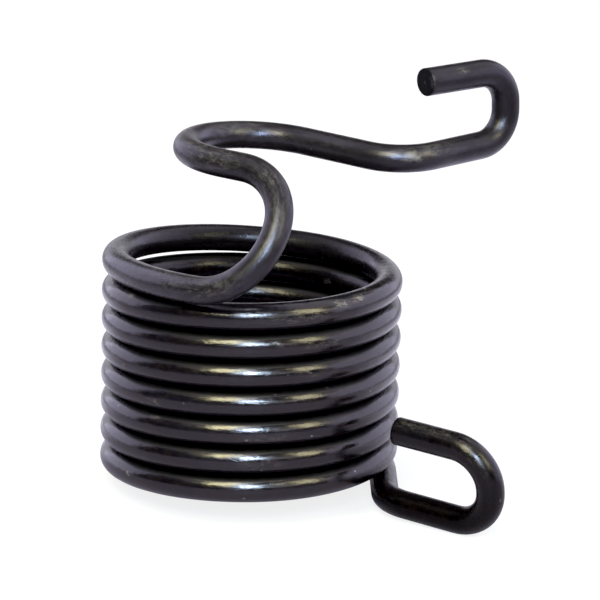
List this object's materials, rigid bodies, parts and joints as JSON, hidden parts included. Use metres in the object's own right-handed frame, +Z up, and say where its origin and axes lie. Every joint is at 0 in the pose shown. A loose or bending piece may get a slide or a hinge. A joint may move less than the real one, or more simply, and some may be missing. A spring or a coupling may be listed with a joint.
{
  "type": "beehive retaining spring",
  "caption": "Close-coiled spring of blackened round wire, with a finger loop at its lower end and, at its upper end, a leaning neck, an open gate round the coil axis and an arm with a hook.",
  "frame": {"origin": "on the coil axis, level with the middle of the wire where the steady coil starts on the right side", "axes": "+Z up along the coil axis from the finger loop to the gate, +X to the right, where the hook and the finger loop reach out, +Y to the back"},
  "size_m": [0.0515, 0.0421, 0.055],
  "materials": {
    "wire": "oil-blackened spring wire, semi-gloss, with small scuffs"
  },
  "bodies": {
    "root": {"spring": "wire"}
  },
  "joints": []
}
